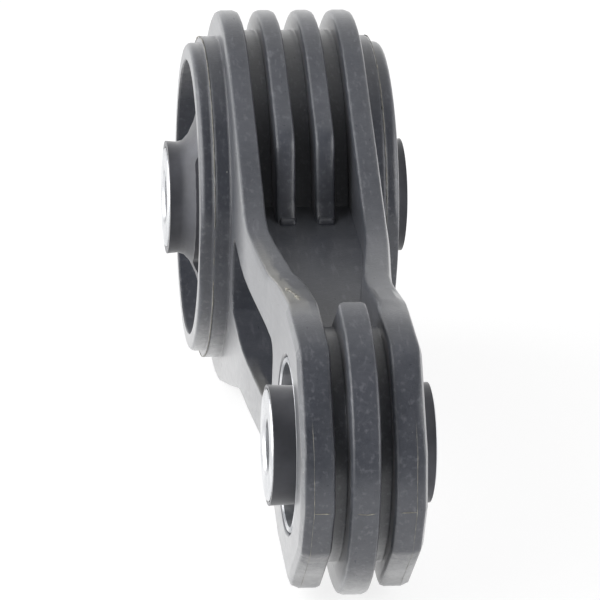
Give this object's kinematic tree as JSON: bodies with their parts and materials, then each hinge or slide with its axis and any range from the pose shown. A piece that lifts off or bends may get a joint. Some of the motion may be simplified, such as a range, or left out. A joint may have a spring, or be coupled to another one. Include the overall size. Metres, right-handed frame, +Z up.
{
  "type": "engine torque strut",
  "caption": "Injection-moulded dog-bone engine torque strut: a large and a small ribbed eye joined by a channelled arm, each with a rubber bush round a steel sleeve.",
  "frame": {"origin": "centre of the bounding box at floor level; the strut rests on the edge of its ribs, as in the picture", "axes": "+X along the bush axes, +Z up, the small eye towards -Y and the large eye towards +Y"},
  "size_m": [0.059, 0.2134, 0.0919],
  "materials": {
    "glass_filled_nylon_black": "satin moulded",
    "bush_rubber_black": "matt",
    "sleeve_steel_turned": "turned",
    "outer_ring_steel_rolled": "rolled"
  },
  "bodies": {
    "root": {"strut_body": "glass_filled_nylon_black", "large_bush_rubber": "bush_rubber_black", "large_bush_inner_sleeve": "sleeve_steel_turned", "small_bush_outer_ring": "outer_ring_steel_rolled", "small_bush_rubber": "bush_rubber_black", "small_bush_inner_sleeve": "sleeve_steel_turned"}
  },
  "joints": []
}
